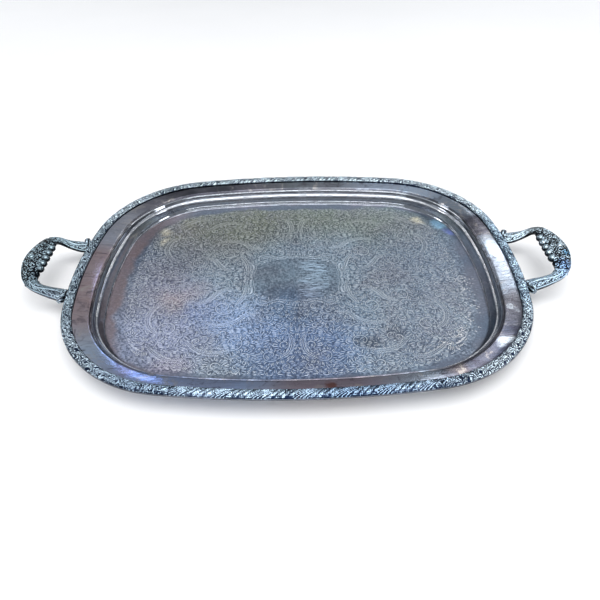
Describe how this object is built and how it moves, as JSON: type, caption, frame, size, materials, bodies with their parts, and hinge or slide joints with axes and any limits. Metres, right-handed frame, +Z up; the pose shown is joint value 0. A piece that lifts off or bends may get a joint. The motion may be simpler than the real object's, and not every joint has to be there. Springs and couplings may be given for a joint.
{
  "type": "serving tray",
  "caption": "Oblong silver-plated serving tray with a chased well, a gadroon-and-leaf border and a cast handle at each end.",
  "frame": {"origin": "middle of the tray's flat underside, at the surface it rests on", "axes": "+X towards the right handle along the tray's length, +Y towards the back long side, +Z up out of the well"},
  "size_m": [0.663, 0.424, 0.0454],
  "materials": {
    "pan_silver": "polished silver plate with grey-violet tarnish, finely chased in the well",
    "border_silver": "silver plate, bright on the lobes and oxidised dark in the recesses",
    "handle_silver": "antiqued cast silver plate, dark in the recesses",
    "wire_silver": "dull tarnished silver plate",
    "rivet_silver": "dull silver plate"
  },
  "bodies": {
    "root": {"tray_pan": "pan_silver", "border_corner_back_right": "border_silver", "border_corner_front_right": "border_silver", "border_corner_front_left": "border_silver", "border_corner_back_left": "border_silver", "border_side_back_right": "border_silver", "border_side_back_left": "border_silver", "border_side_front_right": "border_silver", "border_side_front_left": "border_silver", "border_end_right": "border_silver", "border_end_left": "border_silver", "edge_wire": "wire_silver", "handle_right": "handle_silver", "handle_left": "handle_silver", "rivet_left_front_outer": "rivet_silver", "rivet_left_front_inner": "rivet_silver", "rivet_left_back_outer": "rivet_silver", "rivet_left_back_inner": "rivet_silver", "rivet_right_front_outer": "rivet_silver", "rivet_right_front_inner": "rivet_silver", "rivet_right_back_outer": "rivet_silver", "rivet_right_back_inner": "rivet_silver"}
  },
  "joints": []
}
